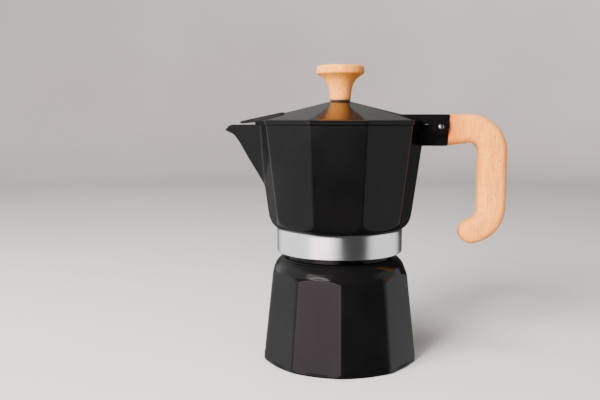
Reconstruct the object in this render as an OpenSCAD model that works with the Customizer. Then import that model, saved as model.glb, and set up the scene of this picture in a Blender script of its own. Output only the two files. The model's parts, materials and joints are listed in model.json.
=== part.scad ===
// Stovetop coffee maker: a ten-sided boiler, a funnel with its coffee basket, and
// a ten-sided collector with a spout, a hinged lid, a wooden handle and a wooden knob.
// Millimetres. Origin: centre of the boiler's flat underside. +Z is up, the handle is
// on +X and the spout on -X. The collector screws onto the boiler's neck.

/* [Pot] */
// Number of flat sides of the boiler, the collector and the lid
sides = 10; // [8:2:12]
// Thickness of the cast walls
wall = 3; // [2:0.1:4]
// Turn of the boiler's sides from the collector's when screwed tight, degrees
boiler_turn = 21.3; // [0:0.1:36]

/* [Boiler] */
// Corner radius of the boiler's sides at the underside
base_r = 45.2; // [40:0.1:50]
// How much the corner radius shrinks per millimetre of height
base_taper = 0.1093; // [0.1:0.0001:0.16]
// Radius that rounds off the boiler's corners at the foot
foot_r = 44.9; // [40:0.1:50]
// Rounding of the foot's edge
foot_round = 2.4; // [0.5:0.1:3]
// Radius of the round plinth under the sides
plinth_r = 43.5; // [42:0.1:45]
// Height of the plinth
plinth_h = 1.7; // [1:0.1:3]
// Radius at the upper edge of the bevel above the sides
bevel_r = 37.75; // [36:0.05:39]
// Height of that edge
bevel_z = 51.35; // [50:0.05:53]
// Radius of the curve at the shoulder's top
shoulder_r = 10; // [8:0.5:14]
// Distance of that curve's centre from the pot's axis
shoulder_x = 27.8; // [25:0.1:30]
// Height of that curve's centre
shoulder_z = 49.3; // [48:0.1:51]
// Height of the ledge below the threaded neck
ledge_z = 58.3; // [56:0.1:60]
// Height of the neck's rim
neck_top = 69; // [67:0.1:71]
// Inner radius of the neck
mouth_r = 26.5; // [25:0.1:27.5]
// Thickness of the boiler's floor
floor_t = 3.5; // [3:0.1:5]

/* [Thread] */
// Rise of the thread per turn
pitch = 3; // [2.5:0.1:4]
// Radius of the neck between its threads
thread_root_r = 29.7; // [29:0.1:30]
// Outer radius of the neck's thread
thread_crest_r = 30.95; // [30:0.05:31.5]
// Inner radius of the collector's thread
nut_crest_r = 30.05; // [29.8:0.05:30.5]
// Radius of the collector's bore between its threads
nut_root_r = 31.25; // [31:0.05:32]
// Height where the neck's thread starts
thread_z = 61.4; // [60:0.1:62]
// Width of the thread's ridge at its root
thread_root_w = 2.1; // [1.8:0.1:2.3]
// Width of the thread's ridge at its crest
thread_crest_w = 0.8; // [0.5:0.1:1.2]

/* [Valve] */
// Direction of the side that carries the safety valve, degrees from the handle
valve_angle = 111.3; // [0:0.1:360]
// Height of the valve's axis on the boiler's side
valve_z = 33; // [25:0.5:40]
// Width of the valve's hexagon across its flats
valve_hex = 11; // [9:0.5:13]
// Radius of the valve's shank
shank_r = 4; // [3:0.1:5]
// Radius of the valve's spring chamber
chamber_r = 2.9; // [2.4:0.1:3.2]
// Radius of the plunger's pin
plunger_r = 1.05; // [0.8:0.05:1.4]

/* [Funnel] */
// Inner radius of the coffee basket
basket_r = 25.4; // [24:0.1:26]
// Thickness of the funnel's sheet metal
sheet = 0.8; // [0.6:0.1:1.2]
// Height of the basket's perforated bottom
screen_z = 51; // [48:0.5:54]
// Inner radius of the funnel's stem
stem_bore_r = 3.7; // [3:0.1:4]
// Height of the stem's lower end
stem_z = 7; // [5:0.5:10]
// Radius of the holes in the screen and the filter plate
hole_r = 0.9; // [0.5:0.1:1.2]

/* [Collector] */
// Outer radius of the bare skirt that carries the thread
band_r = 35.7; // [35:0.1:37]
// Height of the skirt's lower edge
band_z = 61.7; // [61:0.1:62.5]
// Height of the collector's rim
rim_z = 133.2; // [125:0.1:140]
// Corner radius of the collector's sides at the rim
rim_r = 47.84; // [45:0.01:50]
// How much the corner radius grows per millimetre of height
body_taper = 0.1352; // [0.1:0.0001:0.16]
// Radius of the curve between the skirt and the sides
bowl_r = 10; // [8:0.1:12]
// Height of the collector's inner floor
bowl_floor_z = 78.5; // [77:0.1:80]
// Thickness of the collector's sides
body_wall = 2.3; // [2:0.1:3]
// Height of the riser column's top
column_top = 114.5; // [105:0.5:120]
// Inner radius of the riser column
column_bore_r = 3.2; // [3:0.1:3.6]

/* [Spout] */
// Reach of the spout's tip from the pot's axis
spout_reach = 66; // [60:0.1:70]
// Half width of the spout where it meets the rim
spout_half = 11.2; // [9:0.1:13]
// Height where the spout grows out of the corner
spout_low_z = 98.4; // [95:0.1:105]

/* [Hinge and lug] */
// Distance of the hinge pin from the pot's axis
pin_x = 55.5; // [54:0.1:57]
// Height of the hinge pin
pin_z = 132.1; // [131:0.1:134]
// Radius of the hinge pin
pin_r = 1.65; // [1.4:0.05:2]
// Half width of the lug between the lid's ears
lug_half = 7; // [6:0.1:8]
// Thickness of each of the lid's ears
ear_t = 2; // [1.6:0.1:2.4]
// Radial clearance of the pin in the ears
pin_play = 0.05; // [0.02:0.01:0.1]

/* [Lid] */
// Corner radius of the lid's lip
lid_r = 48.5; // [47:0.1:50]
// Height of the lid's lip
lid_lip = 2.3; // [2:0.1:3]
// Height of the lid's flat centre
lid_top_z = 146.1; // [143:0.1:148]
// Thickness of the lid
lid_t = 1.3; // [1:0.1:2]
// Reach of the lid's beak over the spout
beak_reach = 56.3; // [54:0.1:60]

/* [Handle] */
// Outer edge of the handle's upright limb from the pot's axis
handle_x = 92.7; // [88:0.1:98]
// Width of the handle's limbs, seen from the side
handle_w = 15.6; // [14:0.1:20]
// Height of the handle's upper face
handle_top_z = 138.9; // [137:0.1:140]
// Height of the handle's lowest point
handle_low_z = 66.4; // [60:0.1:75]
// Thickness of the handle
handle_t = 14; // [12:0.1:14]
// Rounding of the handle's long edges
handle_round = 4; // [2:0.1:5]

/* [Knob] */
// Radius of the knob's disc
knob_r = 13.4; // [11:0.1:15]
// Height of the knob's top
knob_top_z = 166.1; // [160:0.1:170]
// Radius of the knob's stem
knob_stem_r = 5.95; // [5:0.05:7]

/* [Hidden] */
$fn = 96;
eps = 0.01;
half_side = 180 / sides;
flat = cos(half_side);
thread_steps = 30;
facet_lean = atan(base_taper * flat);
foot_lean = atan(base_taper);
corner_trim = 0.15;
gasket_z = neck_top + sheet;
gasket_t = 3;
plate_z = gasket_z + gasket_t;
plate_t = 0.6;
seat_r = 29.8;
seat_z = plate_z + plate_t;
dome_h = 2.2;
bowl_x = 31.1;
bowl_z = 84;
lid_slope = 0.249;
tongue_z = handle_top_z;
tongue_end = pin_x - 9.1;
lid_back = tongue_end + 1;
tang_t = 5.2;
screw_x = 67.5;
screw_r = 1.5;
washer_t = 0.8;
black = [0.05, 0.05, 0.06];
bare = [0.78, 0.79, 0.8];
beech = [0.83, 0.58, 0.36];
steel = [0.7, 0.7, 0.72];
brass = [0.8, 0.66, 0.35];
rubber = [0.9, 0.9, 0.87];
fibre = [0.45, 0.16, 0.1];

// Points along an arc in the plane, from angle a0 to a1.
function arc(c, r, a0, a1, n = 8) =
    [for (i = [0:n]) c + r * [cos(a0 + (a1 - a0) * i / n), sin(a0 + (a1 - a0) * i / n)]];

// Outline of a rounded rectangle with half sizes h and t, counterclockwise.
function round_box(h, t, r, n = 5) = concat(
    arc([t - r, h - r], r, 0, 90, n),
    arc([r - t, h - r], r, 90, 180, n),
    arc([r - t, r - h], r, 180, 270, n),
    arc([t - r, r - h], r, 270, 360, n));

// Solid through a row of rings with the same number of points each.
module loft(rings) {
    n = len(rings[0]);
    m = len(rings);
    polyhedron(
        points = [for (ring = rings, p = ring) p],
        faces = concat(
            [[for (j = [n - 1:-1:0]) j]],
            [for (i = [0:m - 2], j = [0:n - 1]) each [
                [i * n + j, i * n + (j + 1) % n, (i + 1) * n + (j + 1) % n],
                [i * n + j, (i + 1) * n + (j + 1) % n, (i + 1) * n + j]]],
            [[for (j = [0:n - 1]) (m - 1) * n + j]]));
}

// Ridge that climbs around the Z axis: section is a loop of [radius, height] points.
module helix(section, rise, turns, steps) {
    loft([for (i = [0:round(turns * steps)]) let (a = 360 * i / steps)
        [for (p = section) [p[0] * cos(a), p[0] * sin(a), p[1] + rise * i / steps]]]);
}

// Section of a thread's ridge, counterclockwise whichever way its crest points.
function thread_section(root_r, crest_r, z) = let (
    root = [[root_r, z - thread_root_w / 2], [root_r, z + thread_root_w / 2]],
    crest = [[crest_r, z - thread_crest_w / 2], [crest_r, z + thread_crest_w / 2]])
    crest_r > root_r ? [root[0], crest[0], crest[1], root[1]] : [crest[0], root[0], root[1], crest[1]];

// Tapered prism with the pot's number of sides, one corner on the X axis.
module sided(r_low, r_high, h) {
    cylinder(h = h, r1 = r_low, r2 = r_high, $fn = sides);
}

// Extrusion of a side view, drawn in X and Z, centred on the XZ plane.
module side_view(width) {
    translate([0, width / 2, 0])
        rotate([90, 0, 0])
            linear_extrude(height = width)
                children();
}

// Moves a piece onto the valve's axis, with its Z axis pointing out of the boiler.
module at_valve() {
    rotate([0, 0, valve_angle])
        translate([(base_r - base_taper * valve_z) * flat, 0, valve_z])
            rotate([0, 90 - facet_lean, 0])
                children();
}

// Round disc with rings of small holes.
module sieve(r, t, rings) {
    difference() {
        cylinder(h = t, r = r);
        translate([0, 0, -eps])
            cylinder(h = t + 2 * eps, r = hole_r, $fn = 24);
        for (ring = [1:rings], i = [0:6 * ring - 1])
            rotate([0, 0, i * 60 / ring])
                translate([ring * r / (rings + 1), 0, -eps])
                    cylinder(h = t + 2 * eps, r = hole_r, $fn = 24);
    }
}

module boiler_outside() {
    centre = [shoulder_x, shoulder_z];
    meet_z = (bevel_r + bevel_z - base_r + corner_trim) / (1 - base_taper);
    rotate_extrude()
        polygon(concat(
            [[0, 0]],
            arc([foot_r - foot_round, foot_round], foot_round, -90, 0, 5),
            [[base_r - corner_trim - base_taper * meet_z, meet_z], [bevel_r, bevel_z]],
            arc(centre, shoulder_r, 30, asin((ledge_z - shoulder_z) / shoulder_r), 6),
            [[thread_root_r, ledge_z], [thread_root_r, neck_top - 0.6],
                [thread_root_r - 0.6, neck_top], [0, neck_top]]));
}

module plinth() {
    edge = 0.7;
    rotate_extrude()
        polygon(concat(
            [[0, 0]],
            arc([plinth_r - edge, edge], edge, -90, 0, 4),
            [[plinth_r, plinth_h - 0.3], [plinth_r - 0.3, plinth_h], [0, plinth_h]]));
}

module boiler_hollow() {
    low_r = (base_r - base_taper * floor_t) * flat - wall;
    high_r = (base_r - base_taper * shoulder_z) * flat - wall;
    rotate_extrude()
        polygon(concat(
            [[0, floor_t]],
            arc([low_r - 4, floor_t + 4], 4, -90, -foot_lean, 6),
            arc([high_r - 7, shoulder_z - 2], 7, foot_lean, 60, 6),
            [[mouth_r, ledge_z - 2], [mouth_r, neck_top + 1], [0, neck_top + 1]]));
}

module boiler() {
    color(black) {
        difference() {
            union() {
                intersection() {
                    boiler_outside();
                    rotate([0, 0, boiler_turn])
                        translate([0, 0, -1])
                            sided(base_r + base_taper, base_r - base_taper * (neck_top + 1), neck_top + 2);
                }
                plinth();
            }
            boiler_hollow();
            at_valve()
                translate([0, 0, -10])
                    cylinder(h = 20, r = shank_r + 0.05);
        }
        helix(thread_section(thread_root_r - 0.5, thread_crest_r, thread_z), pitch, 2.1, thread_steps);
    }
}

module valve_body() {
    color(brass)
        at_valve()
            difference() {
                union() {
                    translate([0, 0, -4.5])
                        cylinder(h = 5.5, r = shank_r);
                    translate([0, 0, washer_t])
                        cylinder(h = 4, r = valve_hex / sqrt(3), $fn = 6);
                    translate([0, 0, washer_t + 3])
                        cylinder(h = 3.5, r = 4.4);
                }
                translate([0, 0, -1.5])
                    cylinder(h = 7.8, r = chamber_r);
                translate([0, 0, -5])
                    cylinder(h = 4, r = 1.4, $fn = 48);
                translate([0, 0, 6])
                    cylinder(h = 2, r = plunger_r + 0.05, $fn = 48);
            }
}

module valve_washer() {
    color(fibre)
        at_valve()
            difference() {
                cylinder(h = washer_t, r = 6.6);
                translate([0, 0, -1])
                    cylinder(h = 3, r = shank_r + 0.1);
            }
}

module valve_plunger() {
    color(steel)
        at_valve() {
            translate([0, 0, -0.7])
                cylinder(h = 1, r = 2.5, $fn = 48);
            cylinder(h = 8.8, r = plunger_r, $fn = 48);
        }
}

module valve_seal() {
    color(rubber)
        at_valve()
            translate([0, 0, -1.5])
                cylinder(h = 0.8, r = 2.2, $fn = 48);
}

module valve_spring() {
    wire = 0.3;
    color(steel)
        at_valve()
            translate([0, 0, 0.3 + wire])
                helix(arc([1.9, 0], wire, 0, 300, 5), (6 - 2 * wire) / 5, 5, 18);
}

module funnel() {
    stem_r = stem_bore_r + sheet;
    color(bare)
        rotate_extrude()
            polygon([
                [stem_bore_r, stem_z], [stem_r, stem_z], [stem_r, 39.5], [stem_r + 1.2, 41.5],
                [basket_r + sheet, screen_z - 2], [basket_r + sheet, neck_top],
                [28.9, neck_top], [28.9, gasket_z], [basket_r, gasket_z],
                [basket_r, screen_z], [basket_r - 1, screen_z], [stem_bore_r + 1.2, 42.2],
                [stem_bore_r, 40.3]]);
}

module funnel_screen() {
    color(steel)
        translate([0, 0, screen_z])
            sieve(basket_r - 0.1, 0.5, 5);
}

module gasket() {
    color(rubber)
        translate([0, 0, gasket_z])
            difference() {
                cylinder(h = gasket_t, r = seat_r - 0.3);
                translate([0, 0, -1])
                    cylinder(h = gasket_t + 2, r = 25.2);
            }
}

module filter_plate() {
    color(steel)
        translate([0, 0, plate_z])
            sieve(seat_r - 0.7, plate_t, 6);
}

// Ten-sided shell of the collector with its rounded bowl and its round skirt.
module collector_outside() {
    lip = acos((band_r + 0.3 - bowl_x) / bowl_r);
    intersection() {
        rotate_extrude()
            polygon(concat(
                [[0, band_z], [band_r - 0.5, band_z], [band_r, band_z + 0.5],
                    [band_r, bowl_z - bowl_r * sin(lip)]],
                arc([bowl_x, bowl_z], bowl_r, -lip, 0, 10),
                [[rim_r - 0.1, rim_z], [0, rim_z]]));
        translate([0, 0, band_z - 1])
            sided(rim_r - body_taper * (rim_z - band_z + 1), rim_r, rim_z - band_z + 1);
    }
}

module collector_hollow() {
    inner_r = rim_r - body_wall / flat;
    intersection() {
        rotate_extrude()
            polygon(concat(
                [[0, bowl_floor_z]],
                arc([31.5, bowl_floor_z + 7], 7, -90, -8, 8),
                [[inner_r + 1, rim_z + 2], [0, rim_z + 2]]));
        translate([0, 0, bowl_floor_z - 1])
            sided(inner_r - body_taper * (rim_z - bowl_floor_z + 1), inner_r + 2 * body_taper,
                rim_z - bowl_floor_z + 3);
    }
}

// Three-cornered wedge of the spout, point down: root is its lowest point,
// reach its tip at the height top, half its half width at the rim's corner.
module spout_wedge(root, reach, half, top) {
    corner_x = rim_r - spout_half * tan(half_side);
    back_x = 36;
    back_y = half * (reach - back_x) / (reach - corner_x);
    polyhedron(
        points = [[-root[0], 0, root[1]], [-reach, 0, top], [-back_x, back_y, top], [-back_x, -back_y, top]],
        faces = [[1, 2, 3], [0, 2, 1], [0, 3, 2], [0, 1, 3]]);
}

// Side outline of the spout, from its tip down its keel and back inside the pot.
// d insets the outline to give the channel.
module spout_side(d) {
    lip_x = spout_reach - 5.5;
    polygon([
        [-36, rim_z + d], [-lip_x, rim_z + d], [-lip_x - 2.9, rim_z - 0.8 + 2 * d],
        [-spout_reach - d, rim_z - 3 + d], [-lip_x + 0.6 * d, 127.6 + 0.8 * d], [-57.2 + d, 123 + 0.5 * d],
        [-51.9 + d, 113.3], [-47.4 + d, 105.9], [-43.2 + d, spout_low_z], [-40, 95], [-36, 95]]);
}

module spout() {
    intersection() {
        spout_wedge([42, spout_low_z - 1.5], spout_reach + 3.2, spout_half + 0.5, rim_z);
        side_view(40)
            spout_side(0);
    }
}

module spout_channel() {
    intersection() {
        spout_wedge([39, spout_low_z], spout_reach - 0.5, spout_half - 1.6, rim_z + 0.6);
        side_view(40)
            spout_side(1.6);
    }
}

// Lug that carries the hinge pin, with the tang that goes into the handle.
module lug() {
    side_view(2 * lug_half)
        polygon(concat(
            [[42, 121.5], [59.3, 121.5], [60.4, handle_top_z], [56.8, handle_top_z]],
            arc([pin_x, pin_z], 5.3, 80, 169, 6),
            [[42, rim_z]]));
    translate([59, -tang_t / 2, 126.5])
        cube([14.5, tang_t, 8]);
}

module collector() {
    color(bare) {
        difference() {
            union() {
                collector_outside();
                spout();
                lug();
            }
            collector_hollow();
            spout_channel();
            translate([0, 0, band_z - 1])
                cylinder(h = neck_top + 1.3 - band_z, r = nut_root_r);
            translate([0, 0, neck_top])
                cylinder(h = seat_z - neck_top, r = seat_r);
            translate([0, 0, seat_z - eps])
                cylinder(h = dome_h, r1 = 24.5, r2 = 9);
            cylinder(h = rim_z, r = 4.55);
            translate([pin_x, 20, pin_z])
                rotate([90, 0, 0])
                    cylinder(h = 40, r = pin_r, $fn = 48);
            translate([screw_x, 0, 120])
                cylinder(h = 12.5, r = screw_r, $fn = 48);
        }
        helix(thread_section(nut_root_r + 0.65, nut_crest_r, thread_z + pitch / 2), pitch, 1.9, thread_steps);
    }
}

module riser_column() {
    color(bare)
        rotate_extrude()
            polygon([
                [column_bore_r, bowl_floor_z - 3], [4.5, bowl_floor_z - 3], [4.5, bowl_floor_z],
                [8, bowl_floor_z], [8, bowl_floor_z + 1.2], [6, bowl_floor_z + 4],
                [5.2, column_top - 4], [5.2, column_top], [column_bore_r, column_top]]);
}

module column_cap() {
    color(steel)
        difference() {
            rotate_extrude()
                polygon(concat(
                    [[5.25, column_top - 3.5], [6.2, column_top - 3.5]],
                    arc([3.2, column_top + 3.5], 3, 0, 90, 6),
                    [[0, column_top + 6.5], [0, column_top + 5.5], [5.25, column_top + 3.5]]));
            for (a = [0:120:240])
                rotate([0, 0, a + 60])
                    translate([0, -2, column_top + 0.3])
                        cube([10, 4, 3]);
        }
}

module hinge_pin() {
    length = 2 * (lug_half + 0.3 + ear_t + 0.4);
    color(steel)
        translate([pin_x, length / 2, pin_z])
            rotate([90, 0, 0])
                cylinder(h = length, r = pin_r, $fn = 48);
}

// Ring of the handle between its outer and inner edge, in the XZ plane.
function handle_ring(outer, inner, t) =
    let (mid = (outer + inner) / 2, h = norm(outer - inner) / 2, dir = (outer - inner) / (2 * h),
        r = 0.96 * min(handle_round, h, t))
    [for (p = round_box(h, t, r)) [mid[0] + p[1] * dir[0], -p[0], mid[1] + p[1] * dir[1]]];

module handle_body() {
    t = handle_t / 2;
    outer_r = 21;
    inner_r = outer_r - handle_w;
    tip_r = 6.6;
    corner = [handle_x - outer_r, handle_top_z - outer_r];
    bend = [handle_x - outer_r, handle_low_z + outer_r];
    fillet = bend - [0, 2.4];
    tip = bend + (outer_r - tip_r) * [cos(82), -sin(82)];
    outer = concat(
        [[60.55, handle_top_z]], arc(corner, outer_r, 90, 0, 10),
        arc(bend, outer_r, 0, -82, 12),
        arc(tip, tip_r, -90, -162, 7));
    inner = concat(
        [[59.5, 121.6]], arc(corner, inner_r, 90, 0, 10),
        arc(fillet, inner_r, 0, -80, 12),
        arc(tip, tip_r, 106, 178, 7));
    last = len(outer) - 1;
    loft([for (i = [0:last])
        handle_ring(outer[i], inner[i], i <= last - 8 ? t : t - 4 * (1 - cos(10.3 * (i - last + 8))))]);
}

module handle() {
    color(beech)
        difference() {
            handle_body();
            translate([58, -tang_t / 2 - 0.1, 126.4])
                cube([15.7, tang_t + 0.2, 8.2]);
            translate([screw_x, 0, 121])
                cylinder(h = 8, r = screw_r + 0.2, $fn = 48);
            translate([screw_x, 0, 121])
                cylinder(h = 3.6, r = 3.1, $fn = 48);
        }
}

module handle_screw() {
    color(steel)
        difference() {
            union() {
                translate([screw_x, 0, 122.7])
                    cylinder(h = 1.9, r = 2.9, $fn = 48);
                translate([screw_x, 0, 124])
                    cylinder(h = 8, r = screw_r, $fn = 48);
            }
            translate([screw_x - 4, -0.4, 122])
                cube([8, 0.8, 1.5]);
        }
}

// Pyramid of the lid, drawn at a distance d inside its outer face.
module lid_pyramid(d) {
    lip_z = rim_z + lid_lip;
    top_z = lid_top_z - d;
    top_r = lid_r - (lid_top_z - lip_z) / lid_slope;
    translate([0, 0, lip_z - d - eps])
        sided(lid_r - 1.6 * d, top_r, top_z - lip_z + d + eps);
}

// Side outline of one of the lid's ears.
module ear_side() {
    difference() {
        union() {
            polygon([
                [tongue_end - 3, rim_z + 0.2], [51.6, rim_z + 0.2], [pin_x, pin_z], [60.05, pin_z + 0.8],
                [pin_x + 4.5, pin_z + 2.8], [pin_x + 3.6, pin_z + 4.7], [pin_x + 2.3, pin_z + 6],
                [pin_x + 0.5, tongue_z], [tongue_end - 3, tongue_z]]);
            translate([pin_x, pin_z])
                circle(r = 4.6);
        }
        translate([pin_x, pin_z])
            circle(r = pin_r + pin_play, $fn = 48);
    }
}

module beak() {
    intersection() {
        side_view(40)
            polygon([[-30, 136], [-beak_reach, 133.7], [-beak_reach, 135], [-31, 140.2]]);
        translate([0, 0, rim_z + 0.3])
            linear_extrude(height = 10)
                polygon([[-beak_reach, -4.4], [-beak_reach, 4.4], [-44.5, 11.4], [-28, 13],
                    [-28, -13], [-44.5, -11.4]]);
    }
}

// Lid with the beak over the spout, and two ears for the hinge pin. Its rear corner is cut off,
// so that it passes over the lug when the lid swings back.
module lid() {
    ear_y = lug_half + 0.3;
    color(black) {
        difference() {
            union() {
                translate([0, 0, rim_z])
                    sided(lid_r, lid_r, lid_lip);
                lid_pyramid(0);
                beak();
                translate([33, -ear_y - ear_t, rim_z + 0.2])
                    cube([tongue_end - 33, 2 * (ear_y + ear_t), tongue_z - rim_z - 0.2]);
            }
            translate([0, 0, rim_z - 1])
                sided(lid_r - 1.6 * lid_t, lid_r - 1.6 * lid_t, 1 + lid_lip - lid_t);
            lid_pyramid(lid_t);
            translate([0, 0, 130])
                cylinder(h = 20, r = screw_r + 0.1, $fn = 48);
            translate([lid_back, -ear_y, rim_z - 1])
                cube([5, 2 * ear_y, 5]);
        }
        for (y = [-ear_y - ear_t / 2, ear_y + ear_t / 2])
            translate([0, y, 0])
                side_view(ear_t)
                    ear_side();
    }
}

module knob_washer() {
    color(black)
        translate([0, 0, lid_top_z])
            difference() {
                cylinder(h = washer_t, r = knob_stem_r - 0.2);
                translate([0, 0, -1])
                    cylinder(h = 3, r = screw_r + 0.1, $fn = 48);
            }
}

module knob() {
    under = knob_top_z - 5.1;
    foot = lid_top_z + washer_t;
    edge = 1.6;
    color(beech)
        difference() {
            rotate_extrude()
                polygon(concat(
                    [[0, foot], [knob_stem_r, foot], [6.1, 149], [6.2, 151], [6.5, 153], [7.1, 155],
                        [7.9, 156.8], [8.9, 158.3], [10.3, 159.6], [11.6, 160.5], [12.5, under]],
                    arc([knob_r - edge, under + edge], edge, -60, 0, 4),
                    arc([knob_r - edge, knob_top_z - edge], edge, 0, 90, 6),
                    [[0, knob_top_z]]));
            translate([0, 0, foot - 1])
                cylinder(h = 11, r = screw_r, $fn = 48);
        }
}

module knob_screw() {
    head_z = lid_top_z - lid_t;
    color(steel)
        difference() {
            union() {
                translate([0, 0, head_z - 1.8])
                    cylinder(h = 1.8, r = 3.2, $fn = 48);
                translate([0, 0, head_z - 1])
                    cylinder(h = 11, r = screw_r, $fn = 48);
            }
            translate([-4, -0.4, head_z - 2.8])
                cube([8, 0.8, 1.8]);
        }
}

boiler();
valve_body();
valve_washer();
valve_plunger();
valve_seal();
valve_spring();
funnel();
funnel_screen();
gasket();
filter_plate();
collector();
riser_column();
column_cap();
hinge_pin();
handle();
handle_screw();
lid();
knob_washer();
knob();
knob_screw();
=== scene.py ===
import json
import math

import bmesh
import bpy
import numpy as np
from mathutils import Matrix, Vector


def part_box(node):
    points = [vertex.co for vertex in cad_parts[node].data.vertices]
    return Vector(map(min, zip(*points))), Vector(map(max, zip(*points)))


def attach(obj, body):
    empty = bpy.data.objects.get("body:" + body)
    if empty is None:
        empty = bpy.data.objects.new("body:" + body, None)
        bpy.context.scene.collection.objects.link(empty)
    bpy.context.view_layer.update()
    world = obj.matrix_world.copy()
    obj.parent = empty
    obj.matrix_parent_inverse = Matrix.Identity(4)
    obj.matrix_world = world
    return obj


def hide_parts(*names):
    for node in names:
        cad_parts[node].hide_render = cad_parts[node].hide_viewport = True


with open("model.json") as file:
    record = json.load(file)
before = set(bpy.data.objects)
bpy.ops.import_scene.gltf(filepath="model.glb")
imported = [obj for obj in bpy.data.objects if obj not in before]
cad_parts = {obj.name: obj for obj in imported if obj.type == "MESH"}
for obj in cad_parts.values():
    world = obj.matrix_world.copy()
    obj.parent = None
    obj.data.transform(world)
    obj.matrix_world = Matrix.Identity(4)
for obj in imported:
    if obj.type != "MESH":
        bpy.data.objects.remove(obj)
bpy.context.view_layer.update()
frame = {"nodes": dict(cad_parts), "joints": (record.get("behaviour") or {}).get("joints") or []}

# Lengths below are millimetres, as in the CAD source; MM turns them into metres.
MM = 0.001
SIDES = 10
HALF = math.pi / SIDES
FLAT = math.cos(HALF)


def mm_box(node):
    """Low and high corners of a CAD node's box, in millimetres."""
    low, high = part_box(node)
    return low / MM, high / MM


_, BOILER_HIGH = mm_box("boiler")
COLLECTOR_LOW, _ = mm_box("collector")
_, LID_HIGH = mm_box("lid")
KNOB_LOW, KNOB_HIGH = mm_box("knob")
HANDLE_LOW, HANDLE_HIGH = mm_box("handle")
HINGE = next(j for j in frame["joints"] if j["name"] == "lid_hinge")
PIN_X, _, PIN_Z = (v / MM for v in HINGE["pos_m"])
VALVE = next(j for j in frame["joints"] if j["name"] == "valve_slide")


# ---------------------------------------------------------------- materials


class Nodes:
    """A material under construction: adds nodes and links them by keyword."""

    def __init__(self, name):
        self.material = bpy.data.materials.new(name)
        self.material.use_nodes = True
        self.tree = self.material.node_tree
        self.tree.nodes.clear()
        self.out = self.tree.nodes.new("ShaderNodeOutputMaterial")
        self.shader = self.add("ShaderNodeBsdfPrincipled")
        self.tree.links.new(self.shader.outputs[0], self.out.inputs["Surface"])
        self.coords = self.add("ShaderNodeTexCoord").outputs["Object"]

    def add(self, kind, settings=None, **inputs):
        node = self.tree.nodes.new(kind)
        for key, value in (settings or {}).items():
            setattr(node, key, value)
        for key, value in inputs.items():
            socket = node.inputs[key.replace("_", " ")]
            if isinstance(value, bpy.types.NodeSocket):
                self.tree.links.new(value, socket)
            else:
                socket.default_value = value
        return node

    def stretch(self, scale):
        return self.add("ShaderNodeMapping", Vector=self.coords, Scale=scale).outputs["Vector"]

    def noise(self, scale, vector=None, detail=3.0, roughness=0.5):
        node = self.add(
            "ShaderNodeTexNoise",
            Vector=vector or self.coords,
            Scale=scale,
            Detail=detail,
            Roughness=roughness,
        )
        return node.outputs["Fac"]

    def ramp(self, value, stops):
        node = self.add("ShaderNodeValToRGB", Fac=value)
        elements = node.color_ramp.elements
        while len(elements) < len(stops):
            elements.new(0.5)
        for element, (position, color) in zip(elements, stops):
            element.position = position
            element.color = (*color, 1) if len(color) == 3 else color
        return node.outputs["Color"]

    def span(self, value, low, high, from_low=0.3, from_high=0.7):
        node = self.add("ShaderNodeMapRange", Value=value)
        node.inputs["From Min"].default_value = from_low
        node.inputs["From Max"].default_value = from_high
        node.inputs["To Min"].default_value = low
        node.inputs["To Max"].default_value = high
        return node.outputs["Result"]

    def mix(self, factor, a, b):
        node = self.tree.nodes.new("ShaderNodeMix")
        node.data_type = "RGBA"
        for key, value in ((0, factor), (6, a), (7, b)):
            if isinstance(value, bpy.types.NodeSocket):
                self.tree.links.new(value, node.inputs[key])
            else:
                node.inputs[key].default_value = (*value, 1) if isinstance(value, tuple) else value
        return node.outputs[2]

    def bump(self, height, distance, strength=1.0, normal=None):
        node = self.add("ShaderNodeBump", Height=height, Distance=distance, Strength=strength)
        if normal is not None:
            self.tree.links.new(normal, node.inputs["Normal"])
        return node.outputs["Normal"]

    def finish(self, **inputs):
        for key, value in inputs.items():
            socket = self.shader.inputs[key.replace("_", " ")]
            if isinstance(value, bpy.types.NodeSocket):
                self.tree.links.new(value, socket)
            else:
                is_rgb = isinstance(value, tuple) and len(value) == 3
                socket.default_value = (*value, 1) if is_rgb else value
        return self.material


def enamel(name, dark=(0.002, 0.002, 0.0022), pale=(0.004, 0.0038, 0.004), rough=(0.09, 0.15)):
    """Glossy black enamel on a casting: faint orange peel and slow waves in the gloss."""
    n = Nodes(name)
    cloud = n.noise(38, detail=4)
    peel = n.noise(900, detail=2)
    wave = n.noise(55, detail=1)
    color = n.mix(n.span(cloud, 0, 1), dark, pale)
    roughness = n.span(cloud, rough[0], rough[1])
    normal = n.bump(peel, 0.000012, 0.5)
    normal = n.bump(wave, 0.00012, 0.35, normal)
    return n.finish(Base_Color=color, Roughness=roughness, Normal=normal, IOR=1.24)


def metal(name, color, rough, along=(1, 1, 26), grain=1500, depth=0.000012, shade=0.86):
    """Bare metal with fine tool lines; along squeezes the grain into lines."""
    n = Nodes(name)
    lines = n.noise(grain, n.stretch(along), detail=4, roughness=0.6)
    cloud = n.noise(70, detail=3)
    dull = tuple(c * shade for c in color)
    tone = n.mix(n.span(lines, 0, 1), dull, color)
    tone = n.mix(n.span(cloud, 0, 0.35), tone, dull)
    roughness = n.span(cloud, rough[0], rough[1])
    return n.finish(
        Base_Color=tone, Metallic=1.0, Roughness=roughness, Normal=n.bump(lines, depth, 0.6)
    )


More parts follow.
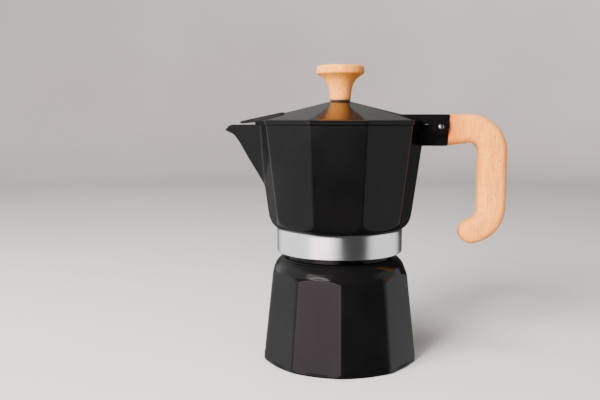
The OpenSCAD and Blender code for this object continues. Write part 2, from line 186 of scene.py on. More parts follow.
def beech(name, along=(1, 1, 0.09), lug_shade_span=None):
    """Steamed beech: fine lines and short flecks along the grain; along squeezes the pattern.
    The last argument gives the X, in metres, where the painted shade near the lug starts to fade
    and where it has gone."""
    n = Nodes(name)
    grain = n.stretch(along)
    line = n.noise(900, grain, detail=4, roughness=0.65)
    band = n.noise(130, grain, detail=2)
    patch = n.noise(30, detail=2)
    fleck = n.noise(2600, n.stretch((along[0], along[1], along[2] * 1.6)), detail=1, roughness=0.4)
    color = n.mix(n.span(line, 0, 1), (0.50, 0.120, 0.010), (0.95, 0.37, 0.045))
    color = n.mix(n.span(band, 0, 0.5), color, (0.70, 0.21, 0.022))
    color = n.mix(n.span(patch, 0, 0.3), color, (0.95, 0.43, 0.065))
    marks = n.ramp(fleck, [(0.60, (0, 0, 0)), (0.70, (0.6, 0.6, 0.6))])
    color = n.mix(marks, color, (0.30, 0.075, 0.012))
    # Painted shade: the wood is darkened towards the lug end, broken up by the patch noise.
    if lug_shade_span is not None:
        along_x = n.add("ShaderNodeSeparateXYZ", Vector=n.coords).outputs["X"]
        near = n.span(along_x, 1, 0, lug_shade_span[0], lug_shade_span[1])
        cloud = n.span(patch, 0.3, 1)
        painted_shade = n.add("ShaderNodeMath", {"operation": "MULTIPLY"})
        n.tree.links.new(near, painted_shade.inputs[0])
        n.tree.links.new(cloud, painted_shade.inputs[1])
        color = n.mix(painted_shade.outputs[0], color, (0.50, 0.085, 0.003))
    roughness = n.span(line, 0.44, 0.58)
    normal = n.bump(fleck, 0.00004, 0.5)
    normal = n.bump(line, 0.00004, 0.5, normal)
    return n.finish(Base_Color=color, Roughness=roughness, Normal=normal, IOR=1.4)


def soft(name, color, rough=0.6, scale=600):
    """Rubber or fibre: matte, with a faint mottle."""
    n = Nodes(name)
    cloud = n.noise(scale, detail=3)
    tone = n.mix(n.span(cloud, 0, 1), tuple(c * 0.8 for c in color), color)
    return n.finish(Base_Color=tone, Roughness=rough, Normal=n.bump(cloud, 0.00004, 0.5))


ENAMEL = enamel("black_enamel")
ENAMEL_LID = enamel("black_enamel_lid", rough=(0.10, 0.16))
ENAMEL_LUG = enamel("black_enamel_lug", rough=(0.09, 0.14))
CAST = metal("cast_aluminium", (0.72, 0.73, 0.74), (0.32, 0.44), along=(1, 1, 1), grain=700)
BAND = metal("turned_aluminium", (0.86, 0.87, 0.89), (0.2, 0.27), along=(0.35, 0.35, 30), grain=900)
SHEET = metal("drawn_aluminium", (0.76, 0.77, 0.79), (0.24, 0.34), along=(1, 1, 8), grain=800)
STEEL = metal("bright_steel", (0.62, 0.61, 0.60), (0.18, 0.28), along=(1, 1, 1), grain=1200)
SPRING = metal("spring_steel", (0.45, 0.45, 0.47), (0.25, 0.35), along=(1, 1, 1), grain=1200)
BRASS = metal("valve_brass", (0.80, 0.60, 0.27), (0.2, 0.32), along=(1, 1, 1), grain=900)
SILICONE = soft("white_silicone", (0.82, 0.82, 0.79), 0.5)
FIBRE = soft("red_fibre", (0.36, 0.07, 0.03), 0.7)
DARK_WASHER = soft("dark_washer_rubber", (0.02, 0.02, 0.021), 0.55)
# The handle gets painted shade towards the lug, fading out between these two X values.
BEECH_HANDLE = beech("beech_handle", lug_shade_span=(0.061, 0.071))
BEECH_KNOB = beech("beech_knob", along=(1, 1, 0.12))


# ------------------------------------------------------------------- meshes


def smin(a, b, k):
    """Smaller of two numbers, with the meeting line rounded over a width k."""
    h = np.clip(0.5 + 0.5 * (b - a) / k, 0, 1)
    return b * (1 - h) + a * h - k * h * (1 - h)


def smax(a, b, k):
    return -smin(-a, -b, k)


def sides(phi, turn, corner_r, rounding):
    """Radius of a ten-sided outline at the angles phi, with rounded corners."""
    d = np.mod(phi - turn, 2 * HALF) - HALF
    near = corner_r * FLAT / np.cos(d)
    far = corner_r * FLAT / np.cos(2 * HALF - np.abs(d))
    return smin(near, far, rounding)


def columns(turn, extra=()):
    """Angles round the pot, close together at its corners and at extra angles."""
    steps = [0, 0.22, 0.45, 0.7, 0.95, 1.25, 1.6, 2.1, 2.8, 3.8]
    steps += [5, 6.4, 8, 9.6, 11.2, 12.9, 14.6, 16.3, 18]
    angles = set()
    for side in range(SIDES):
        corner = side * 360 // SIDES + turn
        for step in steps:
            for sign in (-1, 1):
                angles.add(round((corner + sign * step) % 360, 3))
    for angle in extra:
        angles.add(round(angle % 360, 3))
    kept = []
    for angle in sorted(angles):
        if not kept or angle - kept[-1] > 0.1:
            kept.append(angle)
    return np.radians(kept)


def make(name, verts, faces, materials, indices=None, smooth=True, sharp=None):
    mesh = bpy.data.meshes.new(name)
    mesh.from_pydata([tuple(v) for v in verts], [], faces)
    for material in materials:
        mesh.materials.append(material)
    if indices is not None:
        mesh.polygons.foreach_set("material_index", indices)
    mesh.polygons.foreach_set("use_smooth", [smooth] * len(mesh.polygons))
    if sharp is not None:
        mesh.set_sharp_from_angle(angle=math.radians(sharp))
    mesh.update()
    obj = bpy.data.objects.new(name, mesh)
    bpy.context.scene.collection.objects.link(obj)
    return obj


def shell(name, phi, rows, materials, closed=False, sharp=None):
    """Skin through rows of (radius, height, material); a row of radius 0 is a point.
    Radius and height are numbers or one value per angle. closed joins the last row to the first."""
    n = len(phi)
    verts, starts, points = [], [], []
    for radius, height, _ in rows:
        radius = np.broadcast_to(np.asarray(radius, float), n)
        height = np.broadcast_to(np.asarray(height, float), n)
        starts.append(len(verts))
        points.append(radius.max() < 1e-9)
        if points[-1]:
            verts.append((0.0, 0.0, height[0] * MM))
        else:
            verts.extend(
                zip(radius * np.cos(phi) * MM, radius * np.sin(phi) * MM, height * MM)
            )
    faces, indices = [], []
    pairs = list(zip(range(len(rows) - 1), range(1, len(rows))))
    if closed:
        pairs.append((len(rows) - 1, 0))
    for i, k in pairs:
        for j in range(n):
            m = (j + 1) % n
            a, b = starts[i], starts[k]
            if points[i]:
                faces.append((a, b + m, b + j))
            elif points[k]:
                faces.append((a + j, a + m, b))
            else:
                faces.append((a + j, a + m, b + m, b + j))
            indices.append(rows[i][2])
    return make(name, verts, faces, materials, indices, sharp=sharp)


def arc(centre, radius, start, end, count):
    """Points along an arc, angles in degrees."""
    angles = np.radians(np.linspace(start, end, count + 1))
    return [(centre[0] + radius * math.cos(a), centre[1] + radius * math.sin(a)) for a in angles]


def prism(name, outline, low, high, material, bevel=0.5, segments=3):
    """Side outline in X and Z, extruded along Y from low to high, with rounded edges."""
    n = len(outline)
    verts = [(x * MM, y * MM, z * MM) for y in (low, high) for x, z in outline]
    area = sum(
        outline[i][0] * outline[(i + 1) % n][1] - outline[(i + 1) % n][0] * outline[i][1]
        for i in range(n)
    )
    loop = list(range(n)) if area > 0 else list(range(n))[::-1]
    faces = [loop, [n + i for i in reversed(loop)]]
    for i in range(n):
        a, b = loop[i], loop[(i + 1) % n]
        faces.append([b, a, n + a, n + b])
    obj = make(name, verts, faces, [material])
    round_edges(obj, bevel, segments)
    return obj


def round_edges(obj, width, segments=3, angle=28):
    bevel = obj.modifiers.new("round", "BEVEL")
    bevel.width = width * MM
    bevel.segments = segments
    bevel.limit_method = "ANGLE"
    bevel.angle_limit = math.radians(angle)
    bevel.harden_normals = True
    return obj


def joined(name, objects, material):
    """One object with the union of several closed ones."""
    base = objects[0]
    for other in objects[1:]:
        union = base.modifiers.new("union", "BOOLEAN")
        union.operation = "UNION"
        union.solver = "EXACT"
        union.object = other
    bpy.context.view_layer.update()
    graph = bpy.context.evaluated_depsgraph_get()
    mesh = bpy.data.meshes.new_from_object(base.evaluated_get(graph))
    mesh.name = name
    mesh.materials.clear()
    mesh.materials.append(material)
    mesh.polygons.foreach_set("use_smooth", [True] * len(mesh.polygons))
    for other in objects:
        bpy.data.objects.remove(other)
    obj = bpy.data.objects.new(name, mesh)
    bpy.context.scene.collection.objects.link(obj)
    return obj


def bored(obj, spot, axis, radius):
    """Cuts a round hole through one wall of obj, along an axis through a spot on the wall."""
    angles = np.linspace(0, 2 * math.pi, 65)[:-1]
    reach = 8
    rows = [(0, -reach, 1), (radius, -reach, 1), (radius, reach, 1), (0, reach, 1)]
    cutter = shell("cutter", angles, rows, list(obj.data.materials))
    turn = axis.to_track_quat("Z", "Y").to_matrix()
    for vertex in cutter.data.vertices:
        vertex.co = turn @ vertex.co + spot
    cut = obj.modifiers.new("bore", "BOOLEAN")
    cut.operation = "DIFFERENCE"
    cut.solver = "EXACT"
    cut.object = cutter
    bpy.context.view_layer.update()
    graph = bpy.context.evaluated_depsgraph_get()
    mesh = bpy.data.meshes.new_from_object(obj.evaluated_get(graph))
    obj.modifiers.clear()
    obj.data = mesh
    bpy.data.objects.remove(cutter)
    return obj


def place(obj, body, slot, *replaced):
    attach(obj, body)
    if replaced:
        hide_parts(*replaced)
    return obj


# ------------------------------------------------------------------- thread

PITCH = 3.0
THREAD_Z = 61.4
NECK_ROOT_R = 29.7
NECK_THREAD = {"turns": 2.1, "crest": 0.8, "root": 1.73}
NECK_THREAD_H = 1.25
NUT_ROOT_R = 31.25
NUT_THREAD = {"turns": 1.9, "crest": 0.8, "root": 1.64}
NUT_THREAD_H = 1.2


def ridge(phi, z, start, turns, crest, root):
    """Height of a screw ridge at the angles phi and height z, from 0 to 1."""
    best = np.zeros(len(phi))
    for k in range(int(turns) + 2):
        s = phi / (2 * math.pi) + k
        gap = np.abs(z - start - PITCH * s)
        rise = np.clip((root / 2 - gap) / ((root - crest) / 2), 0, 1)
        ends = np.clip((turns - s) / 0.06, 0, 1) * np.clip(s / 0.06, 0, 1)
        best = np.maximum(best, rise * ends * (s <= turns))
    return best


# ------------------------------------------------------------------- boiler

BOILER_TURN_DEG = 21.3
BOILER_TURN = math.radians(BOILER_TURN_DEG)
BASE_R = 45.2
BASE_TAPER = 0.1093
FOOT_R = 44.9
FOOT_ROUND = 2.4
PLINTH_R = 43.5
PLINTH_H = 1.7
CORNER_TRIM = 0.15
LEDGE_Z = 58.3
NECK_TOP = BOILER_HIGH.z
# The neck is black up to this height and bare above it.
NECK_PAINT_Z = 60.8
MOUTH_R = 26.5
FLOOR_T = 3.5
WALL = 3.0
# The shoulder's profile: a 45-degree bevel over the sides, a steeper band, then an arc.
BEVEL = (37.75, 51.35)
SHOULDER_C = (27.8, 49.3)
SHOULDER_R = 10.0
VALVE_BORE = 4.05
VALVE_Z = 33.0
MEET_Z = (BEVEL[0] + BEVEL[1] - BASE_R + CORNER_TRIM) / (1 - BASE_TAPER)
MEET_R = BASE_R - CORNER_TRIM - BASE_TAPER * MEET_Z
SHOULDER = [(MEET_R, MEET_Z), BEVEL] + arc(SHOULDER_C, SHOULDER_R, 30, 64, 12)


def boiler_round(z):
    """Radius of the turned surface that trims the boiler's sides at the height z."""
    if z < FOOT_ROUND:
        return FOOT_R - FOOT_ROUND + math.sqrt(FOOT_ROUND**2 - (FOOT_ROUND - z) ** 2)
    if z < MEET_Z:
        return FOOT_R + (MEET_R - FOOT_R) * (z - FOOT_ROUND) / (MEET_Z - FOOT_ROUND)
    return float(np.interp(z, [q[1] for q in SHOULDER], [q[0] for q in SHOULDER]))


def plinth(z):
    """Radius of the round plinth under the boiler's sides at the height z."""
    edge = 0.7
    if z < edge:
        return PLINTH_R - edge + math.sqrt(edge**2 - (edge - z) ** 2)
    return PLINTH_R - max(0, z - PLINTH_H + 0.3)


def build_boiler():
    phi = columns(BOILER_TURN_DEG)

    def side(z):
        outline = smin(sides(phi, BOILER_TURN, BASE_R - BASE_TAPER * z, 0.45), boiler_round(z), 0.5)
        return smax(outline, plinth(z), 0.15) if z < PLINTH_H else outline

    rows = [(0, 0.5, 0), (20, 0.5, 0), (34.5, 0.5, 0), (35.2, 0.35, 0), (35.8, 0, 0)]
    heights = [0, 0.04, 0.12, 0.25, 0.42, 0.7, 1.1, 1.38, 1.5, 1.6]
    heights += [1.69, 1.72, 1.85, 2.1, 2.4, 2.8, 3.4]
    heights += list(np.linspace(4.5, 42, 16)) + list(np.linspace(42.5, 51.7, 76))
    heights += list(np.linspace(51.9, LEDGE_Z - 0.4, 26))
    rows += [(side(z), z, 0) for z in heights]
    edge = side(LEDGE_Z - 0.4)
    rows += [(edge - 0.12, LEDGE_Z - 0.16, 0), (edge - 0.45, LEDGE_Z, 0), (30.4, LEDGE_Z, 0)]
    rows += [(30.0, LEDGE_Z + 0.06, 0), (29.78, LEDGE_Z + 0.25, 0)]
    for z in np.linspace(LEDGE_Z + 0.5, NECK_TOP - 0.6, 52):
        coat = 0 if z < NECK_PAINT_Z else 1
        thread = NECK_THREAD_H * ridge(phi, z, THREAD_Z, **NECK_THREAD)
        rows.append((NECK_ROOT_R + thread, z, coat))
    rows += [(r, z, 1) for r, z in arc((29.1, NECK_TOP - 0.6), 0.6, 10, 90, 5)]
    rows += [(r, z, 1) for r, z in arc((27.1, NECK_TOP - 0.6), 0.6, 90, 180, 5)]
    low_r = (BASE_R - BASE_TAPER * FLOOR_T) * FLAT - WALL
    high_r = (BASE_R - BASE_TAPER * SHOULDER_C[1]) * FLAT - WALL
    rows += [(MOUTH_R, z, 1) for z in (66, 62, LEDGE_Z - 1.4)]
    rows += [(26.62, LEDGE_Z - 2.1, 1), (27.1, LEDGE_Z - 2.9, 1)]
    rows += [(r, z, 1) for r, z in arc((high_r - 7, SHOULDER_C[1] - 2), 7, 60, 6.2, 8)]
    rows += [(r, z, 1) for r, z in arc((low_r - 4, 7.5), 4, -6.2, -90, 8)]
    rows += [(20, FLOOR_T, 1), (0, FLOOR_T, 1)]
    body = shell("boiler_shell", phi, rows, [ENAMEL, CAST], sharp=50)
    reach = (BASE_R - BASE_TAPER * VALVE_Z) * FLAT
    turn = BOILER_TURN + math.pi / 2
    spot = Vector((reach * math.cos(turn), reach * math.sin(turn), VALVE_Z)) * MM
    return bored(body, spot, Vector(VALVE["axis"]), VALVE_BORE)


# ---------------------------------------------------------------- collector

RIM_Z = 133.2
RIM_R = 47.84
BODY_TAPER = 0.1352
BAND_R = 35.7
BAND_Z = COLLECTOR_LOW.z
BOWL = (31.1, 84.0)
BOWL_R = 10.0
FLOOR_Z = 78.5
SEAT_R = 29.8
COLUMN_R = 4.55
# Side lines of the spout as (reach, height): its keel outside and inside, and the top of its lip.
KEEL = ((43.2, 98.4), (47.4, 105.9), (51.9, 113.3), (57.2, 123.0), (60.5, 127.6), (66.45, 130.2))
KEEL_IN = ((41.6, 98.4), (45.8, 105.9), (50.3, 113.3), (55.6, 123.8), (59.5, 128.9), (67.6, 131.8))
LIP_TOP = tuple(
    (reach, RIM_Z - drop)
    for reach, drop in ((60.5, 0), (62.0, 0.25), (63.4, 0.8), (64.8, 1.8), (66.0, 3.0))
)


def line(points, value, column=1):
    """Looks value up in one column of points and gives the other column."""
    known = [p[column] for p in points]
    given = [p[1 - column] for p in points]
    return np.interp(value, known, given)


def wedge(psi, z, root, top_reach, top_z, slope, keel):
    """Radius of the spout's V at the angles psi from its middle, at heights z."""
    apex = root[0] + (top_reach - root[0]) * (z - root[1]) / (top_z - root[1])
    flank = slope * apex / (np.sin(psi) + slope * np.cos(psi))
    front = line(keel, z) / np.cos(psi)
    v = smin(flank, front, 1.1)
    return np.where(z > root[1], v, 0)


def build_collector():
    away = np.concatenate([np.arange(0, 3, 0.2), np.arange(3, 20, 0.4)])
    dense = [180 + sign * a for sign in (-1, 1) for a in away]
    phi = columns(0, dense)
    psi = np.abs(phi - math.pi)

    def outer(z):
        z = np.broadcast_to(np.asarray(z, float), phi.shape)
        corner = RIM_R - BODY_TAPER * (RIM_Z - z)
        body = sides(phi, 0, corner, 0.5)
        bulge = np.sqrt(np.maximum(BOWL_R**2 - (z - BOWL[1]) ** 2, 0))
        under = np.where(z < BOWL[1], BOWL[0] + bulge, 99)
        body = smin(body, under, 0.6)
        return smax(body, wedge(psi, z, (42, 96.9), 69.2, RIM_Z, 0.4689, KEEL), 1.0)

    def inner(z):
        z = np.broadcast_to(np.asarray(z, float), phi.shape)
        corner = RIM_R - 2.42 - BODY_TAPER * (RIM_Z - z)
        body = sides(phi, 0, corner, 1.2)
        bowl = np.where(
            z < FLOOR_Z + 7, 31.5 + np.sqrt(np.maximum(49 - (z - FLOOR_Z - 7) ** 2, 0)), 99
        )
        body = smin(body, bowl, 1.0)
        return smax(body, wedge(psi, z, (39, 98.4), 65.5, RIM_Z + 0.6, 0.4506, KEEL_IN), 0.8)

    def brim(radius_at):
        top = np.full(phi.shape, RIM_Z)
        for _ in range(12):
            top = 0.5 * top + 0.5 * line(LIP_TOP, radius_at(top) * np.cos(psi), 0)
        return top

    rows = [(COLUMN_R, 75.6, 1), (9, 75.6, 1), (24.5, 73.4, 1), (29.4, 73.4, 1), (SEAT_R, 73.0, 1)]
    rows += [(SEAT_R, 71, 1), (SEAT_R, 69.7, 1), (30.1, 69.3, 1), (31.1, 69.3, 1)]
    for z in np.linspace(69.1, 62.0, 42):
        thread = NUT_THREAD_H * ridge(phi, z, THREAD_Z + PITCH / 2, **NUT_THREAD)
        rows.append((NUT_ROOT_R - thread, z, 1))
    rows += [(NUT_ROOT_R, 61.6, 1), (31.9, BAND_Z + 0.1, 1), (32.3, BAND_Z, 2)]
    rows += [(r, z, 2) for r, z in arc((BAND_R - 0.45, BAND_Z + 0.45), 0.45, -90, 0, 5)]
    rows += [(BAND_R, z, 2) for z in (62.5, 65, 68, 71, 73.4)]
    rows += [(BAND_R + 0.02, 74.3, 2), (BAND_R + 0.1, 74.75, 2), (BAND_R + 0.3, 75.05, 2)]
    rows.append((BAND_R + 0.42, 75.22, 0))
    start = math.degrees(math.acos((BAND_R + 0.5 - BOWL[0]) / BOWL_R))
    for a in np.linspace(-start, 0, 20):
        z = BOWL[1] + BOWL_R * math.sin(math.radians(a))
        rows.append((outer(z), z, 0))
    top = brim(outer)
    spans = ((0, 0.7, 16), (0.7, 0.93, 16), (0.93, 1, 14))
    share = np.concatenate([np.linspace(*span)[1:] for span in spans])
    for t in share:
        z = BOWL[1] + (top - 0.35 - BOWL[1]) * t
        rows.append((outer(z), z, 0))
    wide = outer(top - 0.35)
    rows += [(wide - 0.06, top - 0.14, 0), (wide - 0.22, top - 0.03, 0), (wide - 0.42, top, 0)]
    deep = brim(inner)
    tight = inner(deep - 0.35)
    rows += [(tight + 0.35, deep, 1), (tight + 0.1, deep - 0.1, 1), (tight, deep - 0.35, 1)]
    for t in share[::-1][1:]:
        z = BOWL[1] + 2 + (deep - 0.35 - BOWL[1] - 2) * t
        rows.append((inner(z), z, 1))
    for a in np.linspace(-2, -88, 14):
        z = FLOOR_Z + 7 + 7 * math.sin(math.radians(a))
        rows.append((inner(z), z, 1))
    rows += [(28, FLOOR_Z, 1), (16, FLOOR_Z, 1), (COLUMN_R, FLOOR_Z, 1)]
    return shell("collector_shell", phi, rows, [ENAMEL, CAST, BAND], closed=True, sharp=50)


LUG_HALF = 7
LUG_TOP = 138.9


def build_lug():
    """Lug that carries the hinge pin and the handle."""
    outline = [(43, 121.5), (59.3, 121.5), (60.4, LUG_TOP), (56.8, LUG_TOP)]
    outline += arc((PIN_X, PIN_Z), 5.3, 80, 168, 8)
    outline += [(43, RIM_Z)]
    return prism("handle_lug", outline, -LUG_HALF, LUG_HALF, ENAMEL_LUG, bevel=0.5, segments=4)


# ---------------------------------------------------------------------- lid

LID_R = LID_HIGH.y / math.sin(math.radians(72))
LID_TOP = 146.1
LID_SLOPE = 0.249
LID_APEX = 135.5 + LID_SLOPE * LID_R
LID_T = 1.3
# The lid's rear corner is cut off here, to clear the lug when it opens.
LID_BACK = PIN_X - 8.1


def lid_height(phi, radius, drop=0.0):
    """Height of the lid's ten-sided roof at a radius, drop below its outer face."""
    d = np.mod(phi, 2 * HALF) - HALF
    near = LID_APEX - drop - LID_SLOPE / FLAT * radius * np.cos(d)
    far = LID_APEX - drop - LID_SLOPE / FLAT * radius * np.cos(2 * HALF - np.abs(d))
    return smin(smin(near, far, 0.1), LID_TOP - drop, 0.3)


def build_lid():
    phi = columns(0)
    back = np.where(np.cos(phi) > 0.5, LID_BACK / np.maximum(np.cos(phi), 0.5), 99)
    rim = smin(sides(phi, 0, LID_R, 0.5), back, 0.2)
    within = sides(phi, 0, LID_R - 1.6 * LID_T, 0.8)
    rows = []
    for r in (1.6, 3, 4, 4.8, 5.4, 6, 6.6, 7.4, 8.4, 10.5):
        rows.append((r, lid_height(phi, np.full(phi.shape, r)), 0))
    for s in np.linspace(0, 1, 20)[1:]:
        radius = 10.5 + (rim - 0.45 - 10.5) * s
        rows.append((radius, lid_height(phi, radius), 0))
    edge = lid_height(phi, rim - 0.45)
    rows += [(rim - 0.2, edge - 0.12, 0), (rim - 0.05, edge - 0.3, 0), (rim, edge - 0.55, 0)]
    rows += [(rim, 134.2, 0), (rim, 133.55, 0), (rim - 0.1, 133.3, 0), (rim - 0.35, RIM_Z, 0)]
    rows += [(within + 0.2, RIM_Z, 1), (within, 133.4, 1), (within, 134.0, 1)]
    for s in np.linspace(1, 0, 12):
        radius = 8 + (within - 0.3 - 8) * s
        rows.append((radius, lid_height(phi, radius, LID_T), 1))
    rows += [(4, LID_TOP - LID_T, 1), (1.6, LID_TOP - LID_T, 1)]
    return shell("lid_shell", phi, rows, [ENAMEL_LID, CAST], closed=True, sharp=50)


def build_beak():
    """Beak of the lid over the spout: a sloping six-sided slab."""
    tip = 56.3
    half = [(-tip, 4.4), (-44.5, 11.4), (-31.5, 12.6)]
    plan = [(-tip, -4.4)] + half + [(-31.5, -12.6), (-44.5, -11.4)]
    verts = []
    for x, y in plan:
        verts.append((x * MM, y * MM, (135.0 + (-tip - x) * -0.2055) * MM))
    for x, y in plan:
        low = 133.7 + (x + tip) * 0.0875
        verts.append((x * MM, y * MM, low * MM))
    n = len(plan)
    faces = [list(range(n))[::-1], [n + i for i in range(n)]]
    for i in range(n):
        k = (i + 1) % n
        faces.append([i, k, n + k, n + i])
    obj = make("lid_beak", verts, faces, [ENAMEL_LID])
    bm = bmesh.new()
    bm.from_mesh(obj.data)
    bmesh.ops.recalc_face_normals(bm, faces=bm.faces)
    bm.to_mesh(obj.data)
    bm.free()
    return round_edges(obj, 0.45, 3)


def build_hinge():
    """The lid's tongue and the two ears that hold the pin, as one piece."""
    end = PIN_X - 9.1
    low, top = RIM_Z + 0.2, LUG_TOP
    ear_in, ear_out = 7.3, 9.3
    ear = [(33, low), (51.4, low)]
    ear += arc((PIN_X, PIN_Z), 4.6, 200, 375, 20)
    ear += [(PIN_X + 4.3, PIN_Z + 2.9), (PIN_X + 3.6, PIN_Z + 4.6), (PIN_X + 2.3, PIN_Z + 6.0)]
    ear += [(PIN_X + 0.9, top), (33, top)]
    slabs = []
    for name, outline, a, b in (
        ("tongue", [(33, low), (end, low), (end, top), (33, top)], -ear_in - 0.5, ear_in + 0.5),
        ("ear_left", ear, -ear_out, -ear_in),
        ("ear_right", ear, ear_in, ear_out),
    ):
        slab = prism(name, outline, a, b, ENAMEL_LID)
        slab.modifiers.clear()
        slabs.append(slab)
    obj = joined("lid_hinge_ears", slabs, ENAMEL_LID)
    return round_edges(obj, 0.4, 3)


def build_pin():
    phi = np.linspace(0, 2 * math.pi, 49)[:-1]
    low, high = mm_box("hinge_pin")
    r = (high.z - low.z) / 2
    half = (high.y - low.y) / 2
    profile = [(0, -half), (r * 0.6, -half + 0.04), (r - 0.25, -half + 0.18)]
    profile += [(r, -half + 0.5), (r, 0)]
    profile += [(a, -b) for a, b in profile[-2::-1]]
    obj = shell("hinge_pin_round", phi, [(a, b, 0) for a, b in profile], [STEEL], sharp=60)
    turned = [(v.co.x + PIN_X * MM, v.co.z, -v.co.y + PIN_Z * MM) for v in obj.data.vertices]
    for vertex, co in zip(obj.data.vertices, turned):
        vertex.co = co
    obj.data.update()
    return obj


# ----------------------------------------------------------- handle and knob


def loft(name, rings, material, sharp=40):
    """Skin through closed rings with equal counts of points, capped at both ends."""
    n = len(rings[0])
    verts = [p for ring in rings for p in ring]
    faces = [list(range(n))[::-1]]
    for i in range(len(rings) - 1):
        for j in range(n):
            k = (j + 1) % n
            faces.append([i * n + j, i * n + k, (i + 1) * n + k, (i + 1) * n + j])
    faces.append([(len(rings) - 1) * n + j for j in range(n)])
    return make(name, verts, faces, [material], sharp=sharp)


def rounded(h, t, r, count=8):
    """Rounded rectangle with half sizes h (across) and t (thickness)."""
    points = []
    x, y = t - r, h - r
    for centre, start in (((x, y), 0), ((-x, y), 90), ((-x, -y), 180), ((x, -y), 270)):
        points += arc(centre, r, start, start + 90, count)
    return points


def build_handle():
    """Hook of beech: pairs of outer and inner edge points, with a rounded section at each pair."""
    half_t = (HANDLE_HIGH.y - HANDLE_LOW.y) / 2
    right, top = HANDLE_HIGH.x, HANDLE_HIGH.z
    outer_r, inner_r, tip_r = 21.0, 5.4, 6.6
    corner = (right - outer_r, top - outer_r)
    bend = (right - outer_r, 66.4 + outer_r)
    fillet = (bend[0], bend[1] - 2.4)
    lean = math.radians(82)
    reach = outer_r - tip_r
    tip = (bend[0] + reach * math.cos(lean), bend[1] - reach * math.sin(lean))
    outer, inner, inset = [], [], []

    def add(a, b, d=0.0):
        outer.append(a)
        inner.append(b)
        inset.append(d)

    for x, d in ((0, 0.5), (0.12, 0.2), (0.35, 0.04), (0.8, 0), (4, 0), (8, 0)):
        add((60.6 + x, top), (59.55 + x, 121.6 + 0.136 * x), d)
    for a, b in zip(arc(corner, outer_r, 90, 0, 24), arc(corner, inner_r, 90, 0, 24)):
        add(a, b)
    for t in (0.25, 0.5, 0.75):
        z = corner[1] + (bend[1] - corner[1]) * t
        add((right, z), (right - outer_r + inner_r, z - 2.4 * t))
    for a, b in zip(arc(bend, outer_r, 0, -82, 28), arc(fillet, inner_r, 0, -80, 28)):
        add(a, b)
    for a in np.linspace(5, 80, 16):
        low = math.radians(-82 - a)
        high = math.radians(98 + a)
        add(
            (tip[0] + tip_r * math.cos(low), tip[1] + tip_r * math.sin(low)),
            (tip[0] + tip_r * math.cos(high), tip[1] + tip_r * math.sin(high)),
            -a,
        )
    rings = []
    for a, b, d in zip(outer, inner, inset):
        a, b = np.array(a), np.array(b)
        mid, h = (a + b) / 2, np.linalg.norm(a - b) / 2
        across = (a - b) / (2 * h)
        t = half_t
        if d > 0:
            h, t = h - d, t - d
        elif d < 0:
            t = half_t - 4.1 * (1 - math.cos(math.radians(-d)))
        r = 0.97 * min(4.4, h, t)
        ring = []
        for p in rounded(h, t, r):
            x, z = mid + p[1] * across
            ring.append((x * MM, -p[0] * MM, z * MM))
        rings.append(ring)
    return loft("handle_grip", rings, BEECH_HANDLE, sharp=60)


def build_knob():
    """Turned knob: a stem that flares into a flat disc."""
    phi = np.linspace(0, 2 * math.pi, 129)[:-1]
    top, foot = KNOB_HIGH.z, KNOB_LOW.z
    wide = KNOB_HIGH.x
    under = top - 5.1
    curve = [(5.8, foot + 0.12), (5.94, foot + 0.5), (6.05, 149.0), (6.2, 151.0), (6.5, 153.0)]
    curve += [(7.05, 155.0), (7.85, 156.8), (8.85, 158.3), (10.2, 159.6), (11.5, 160.5)]
    curve.append((12.3, under + 0.05))
    z = np.array([p[1] for p in curve])
    r = np.array([p[0] for p in curve])
    t = np.linspace(0, 1, 40)
    length = np.concatenate([[0], np.cumsum(np.hypot(np.diff(r), np.diff(z)))])
    length /= length[-1]
    stem = list(zip(np.interp(t, length, r), np.interp(t, length, z)))
    for _ in range(3):
        stem = [stem[0]] + [
            tuple((np.array(stem[i - 1]) + 2 * np.array(stem[i]) + np.array(stem[i + 1])) / 4)
            for i in range(1, len(stem) - 1)
        ] + [stem[-1]]
    rows = [(0, foot + 9, 0), (1.5, foot + 9, 0), (1.5, foot, 0), (5.5, foot, 0)]
    rows += [(a, b, 0) for a, b in stem]
    rows += [(a, b, 0) for a, b in arc((wide - 1.1, under + 1.2), 1.1, -60, 0, 7)]
    rows += [(a, b, 0) for a, b in arc((wide - 1.5, top - 1.55), 1.45, 0, 86, 9)]
    rows += [(wide * s, top - 0.12 * s * s, 0) for s in (0.72, 0.5, 0.25)]
    rows += [(0, top, 0)]
    return shell("knob_turned", phi, rows, [BEECH_KNOB], sharp=60)


# ---------------------------------------------------------------- the parts

place(build_boiler(), "boiler", "boiler_black", "boiler")
place(build_collector(), "collector", "collector_black", "collector")
place(build_lug(), "collector", "collector_black")
place(build_lid(), "lid", "lid_black", "lid")
place(build_beak(), "lid", "lid_black")
place(build_hinge(), "lid", "lid_black")
place(build_pin(), "collector", "steel", "hinge_pin")
place(build_handle(), "collector", "beech", "handle")
place(build_knob(), "lid", "beech", "knob")

CARRIED = {
    "valve_body": BRASS,
    "valve_washer": FIBRE,
    "valve_plunger": STEEL,
    "valve_seal": SILICONE,
    "valve_spring": SPRING,
    "funnel": SHEET,
    "funnel_screen": SHEET,
    "gasket": SILICONE,
    "filter_plate": SHEET,
    "riser_column": CAST,
    "column_cap": STEEL,
    "handle_screw": STEEL,
    "knob_washer": DARK_WASHER,
    "knob_screw": STEEL,
}
for node, material in CARRIED.items():
    mesh = frame["nodes"][node].data
    mesh.materials.clear()
    mesh.materials.append(material)


# -------------------------------------------------------------- the studio


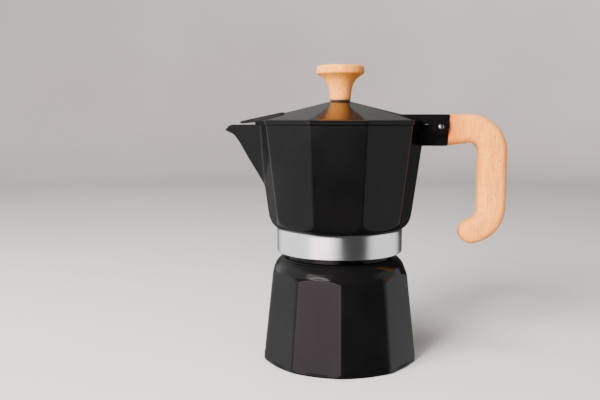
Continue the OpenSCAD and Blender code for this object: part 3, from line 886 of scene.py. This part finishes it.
def build_floor():
    """Round pale floor, and a wall that curves up from it, seen only by the camera."""
    phi = np.linspace(0, 2 * math.pi, 97)[:-1]
    flat_r, sweep, wall_top = 1200, 800, 3000
    curve = arc((flat_r, sweep), sweep, -90, 0, 24) + [(flat_r + sweep, wall_top)]
    n = Nodes("pale_floor")
    tone = n.mix(n.span(n.noise(3, detail=3), 0, 1), (0.57, 0.57, 0.57), (0.63, 0.63, 0.63))
    pale = n.finish(Base_Color=tone, Roughness=0.55)
    floor = shell("floor", phi, [(0, 0, 0), (flat_r, 0, 0)], [pale])
    wall = shell("backdrop", phi, [(r, z, 0) for r, z in curve], [pale])
    wall.visible_diffuse = False
    wall.visible_shadow = False
    for obj in (floor, wall):
        obj.visible_glossy = False


def area(name, position, target, size, power, color, height=None):
    """Soft light aimed at target: a square, or a strip where height is given."""
    light = bpy.data.lights.new(name, "AREA")
    light.size = size
    if height:
        light.shape = "RECTANGLE"
        light.size_y = height
    light.energy = power
    light.color = color
    obj = bpy.data.objects.new(name, light)
    obj.location = position
    obj.rotation_euler = (Vector(target) - Vector(position)).to_track_quat("-Z", "Y").to_euler()
    bpy.context.scene.collection.objects.link(obj)
    return obj


def heading(azimuth, elevation):
    """Unit vector towards a compass direction round the pot, in degrees from +X."""
    a, e = math.radians(azimuth), math.radians(elevation)
    return (math.cos(a) * math.cos(e), math.sin(a) * math.cos(e), math.sin(e))


AMBIENT = (0.07, 0.07, 0.07)


def build_world():
    """Dim room with broad soft patches of light: direction, inner and outer angle, colour."""
    world = bpy.data.worlds.new("studio")
    bpy.context.scene.world = world
    world.use_nodes = True
    tree = world.node_tree
    view = tree.nodes.new("ShaderNodeTexCoord").outputs["Generated"]
    color = None
    patches = [
        (heading(178, -4), 36, 62, (1.5, 1.5, 1.48)),
        (heading(4, -4), 30, 44, (1.2, 1.2, 1.2)),
        (heading(-122, 3), 9, 28, (5.0, 3.9, 4.2)),
        (heading(-100, -6), 8, 15, (1.5, 1.5, 1.5)),
        (heading(116, 0), 20, 45, (0.06, 0.06, 0.058)),
        (heading(104, 37), 14, 36, (0.40, 0.39, 0.36)),
        (heading(80, 62), 7, 15, (4.5, 3.9, 3.3)),
    ]
    for axis, inner, outer, tint in patches:
        dot = tree.nodes.new("ShaderNodeVectorMath")
        dot.operation = "DOT_PRODUCT"
        tree.links.new(view, dot.inputs[0])
        dot.inputs[1].default_value = axis
        step = tree.nodes.new("ShaderNodeMapRange")
        step.interpolation_type = "SMOOTHSTEP"
        step.inputs["From Min"].default_value = math.cos(math.radians(outer))
        step.inputs["From Max"].default_value = math.cos(math.radians(inner))
        tree.links.new(dot.outputs["Value"], step.inputs["Value"])
        scale = tree.nodes.new("ShaderNodeVectorMath")
        scale.operation = "SCALE"
        scale.inputs[0].default_value = tint
        tree.links.new(step.outputs["Result"], scale.inputs["Scale"])
        total = tree.nodes.new("ShaderNodeVectorMath")
        total.operation = "ADD"
        tree.links.new(scale.outputs["Vector"], total.inputs[0])
        if color is None:
            total.inputs[1].default_value = AMBIENT
        else:
            tree.links.new(color, total.inputs[1])
        color = total.outputs["Vector"]
    tree.links.new(color, tree.nodes["Background"].inputs["Color"])


build_floor()
build_world()
for light in (
    area("key_front_left", (-0.55, -0.78, 0.60), (0, 0, 0.08), 0.5, 42, (1, 0.96, 0.92)),
    area("top_soft", (-0.13, -0.22, 1.05), (0, 0, 0.05), 0.36, 9, (1, 0.96, 0.92)),
):
    light.visible_glossy = False
area(
    "strip_front_left", (-0.60, -0.89, 0.56), (0, 0, 0.05), 0.95, 9, (1, 0.93, 0.86), height=0.17
)

camera_data = bpy.data.cameras.new("camera")
camera_data.sensor_width = 36
camera_data.lens = 43.0
camera_data.clip_start = 0.01
camera = bpy.data.objects.new("camera", camera_data)
pitch = math.radians(6.52)
camera.location = (0.0088, -0.4082, 0.1368)
forward = Vector((-0.077 * math.cos(pitch), 0.997 * math.cos(pitch), -math.sin(pitch)))
camera.rotation_euler = forward.to_track_quat("-Z", "Y").to_euler()
bpy.context.scene.collection.objects.link(camera)
bpy.context.scene.camera = camera
